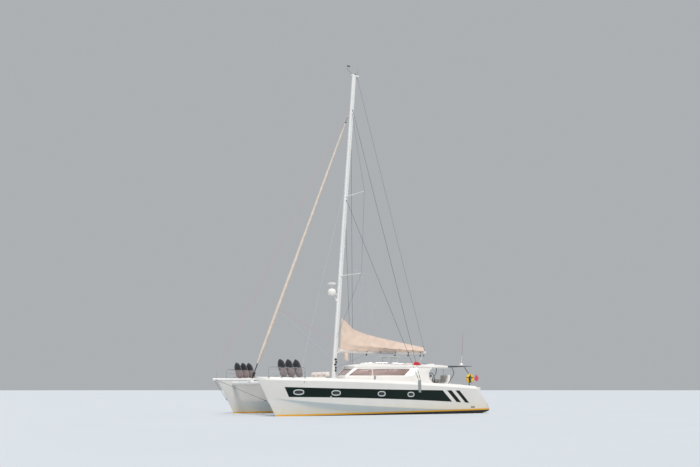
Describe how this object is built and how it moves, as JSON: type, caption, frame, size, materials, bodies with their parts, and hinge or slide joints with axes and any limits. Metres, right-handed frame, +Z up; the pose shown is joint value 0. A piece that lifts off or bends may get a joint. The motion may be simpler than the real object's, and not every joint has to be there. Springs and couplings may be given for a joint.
{
  "type": "sailing catamaran",
  "caption": "Cruising sailing catamaran afloat, with hulls, bridge deck, saloon, hardtop, mast, swinging boom, steering, hatches and sliding door.",
  "frame": {"origin": "on the water surface, on the boat's centreline, amidships", "axes": "+X to the bow, +Y to port, +Z up"},
  "size_m": [15.7, 7.904, 21.973],
  "materials": {
    "gelcoat": "white polished gelcoat",
    "deck_lid": "light grey non-slip paint",
    "cast_metal": "grey painted metal",
    "bronze": "cast bronze",
    "tinted_pane": "brown tinted acrylic",
    "solar_panel": "dark blue cells under clear film",
    "stainless": "polished stainless steel",
    "cushion": "grey woven cushion cover",
    "spar_paint": "white painted aluminium",
    "black_net": "dark cordage and covers",
    "sailcloth": "cream sun strip over sailcloth",
    "canvas": "beige woven canvas",
    "buoy_foam": "yellow cloth over foam",
    "flag_cloth": "plain red bunting"
  },
  "bodies": {
    "boat": {"hull_port": "gelcoat", "hull_starboard": "gelcoat", "bridge_deck": "gelcoat", "saloon": "gelcoat", "bulkhead": "gelcoat", "hardtop": "gelcoat", "helm_console": "gelcoat", "helm_seat": "gelcoat", "cockpit_table": "gelcoat", "radar": "gelcoat", "antenna": "gelcoat", "engine_port": "cast_metal", "engine_starboard": "cast_metal", "saildrive_port": "cast_metal", "saildrive_starboard": "cast_metal", "stern_arch": "cast_metal", "side_pane_port": "tinted_pane", "side_pane_starboard": "tinted_pane", "windscreen_port": "tinted_pane", "windscreen_starboard": "tinted_pane", "front_pane": "tinted_pane", "galley_pane": "tinted_pane", "roof_panel": "solar_panel", "chainplate_port": "stainless", "chainplate_starboard": "stainless", "cap_shroud_port": "stainless", "cap_shroud_starboard": "stainless", "lower_shroud_port": "stainless", "lower_shroud_starboard": "stainless", "diamond_stay_port": "stainless", "diamond_stay_starboard": "stainless", "flagstaff": "stainless", "cockpit_settee": "cushion", "foredeck_cushions": "cushion", "crossbeam": "spar_paint", "bowsprit": "spar_paint", "mast": "spar_paint", "bobstay_port": "black_net", "bobstay_starboard": "black_net", "trampoline_port": "black_net", "trampoline_starboard": "black_net", "bow_rail_port": "black_net", "bow_rail_starboard": "black_net", "furled_jib": "sailcloth", "lifebuoy": "buoy_foam", "flag": "flag_cloth"},
    "boom": {"boom": "spar_paint", "stowed_mainsail": "canvas", "rope_bag": "canvas", "topping_lift": "stainless"},
    "rudder_port": {"rudder_port": "gelcoat"},
    "rudder_starboard": {"rudder_starboard": "gelcoat"},
    "helm_wheel": {"helm_wheel": "stainless"},
    "propeller_port": {"propeller_port": "bronze"},
    "propeller_starboard": {"propeller_starboard": "bronze"},
    "saloon_door": {"saloon_door": "tinted_pane"},
    "bow_hatch_port": {"bow_hatch_port": "deck_lid"},
    "bow_hatch_starboard": {"bow_hatch_starboard": "deck_lid"},
    "engine_hatch_port": {"engine_hatch_port": "deck_lid"},
    "engine_hatch_starboard": {"engine_hatch_starboard": "deck_lid"}
  },
  "joints": [
    {"name": "boom_swing", "type": "hinge", "parent": "boat", "child": "boom", "pos_m": [1.04, 0, 3.55], "axis": [-0.0731, 0, 0.9973], "range_deg": [-45, 45]},
    {"name": "rudder_port_steer", "type": "hinge", "parent": "boat", "child": "rudder_port", "pos_m": [-5.95, 3.05, -0.22], "axis": [0, 0, 1], "range_deg": [-35, 35]},
    {"name": "rudder_starboard_steer", "type": "hinge", "parent": "boat", "child": "rudder_starboard", "pos_m": [-5.95, -3.05, -0.22], "axis": [0, 0, 1], "range_deg": [-35, 35]},
    {"name": "helm_wheel_turn", "type": "hinge", "parent": "boat", "child": "helm_wheel", "pos_m": [-4.18, 1.75, 1.9], "axis": [1, 0, 0], "range_deg": [-450, 450]},
    {"name": "propeller_port_spin", "type": "hinge", "parent": "boat", "child": "propeller_port", "pos_m": [-5.02, 3.05, -0.8], "axis": [1, 0, 0], "continuous": true},
    {"name": "propeller_starboard_spin", "type": "hinge", "parent": "boat", "child": "propeller_starboard", "pos_m": [-5.02, -3.05, -0.8], "axis": [1, 0, 0], "continuous": true},
    {"name": "saloon_door_slide", "type": "slide", "parent": "boat", "child": "saloon_door", "axis": [0, 1, 0], "range_m": [0, 0.83]},
    {"name": "bow_hatch_port_lift", "type": "hinge", "parent": "boat", "child": "bow_hatch_port", "pos_m": [5.66, 2.86, 1.9995], "axis": [0, 1, 0], "range_deg": [0, 90]},
    {"name": "bow_hatch_starboard_lift", "type": "hinge", "parent": "boat", "child": "bow_hatch_starboard", "pos_m": [5.66, -2.86, 1.9995], "axis": [0, 1, 0], "range_deg": [0, 90]},
    {"name": "engine_hatch_port_lift", "type": "hinge", "parent": "boat", "child": "engine_hatch_port", "pos_m": [-4.17, 3.05, 1.6775], "axis": [0, 1, 0], "range_deg": [0, 80]},
    {"name": "engine_hatch_starboard_lift", "type": "hinge", "parent": "boat", "child": "engine_hatch_starboard", "pos_m": [-4.17, -3.05, 1.6775], "axis": [0, 1, 0], "range_deg": [0, 80]}
  ],
  "couplings": [
    {"joint": "rudder_starboard_steer", "follows": "rudder_port_steer", "ratio": 1},
    {"joint": "helm_wheel_turn", "follows": "rudder_port_steer", "ratio": 12.857}
  ]
}
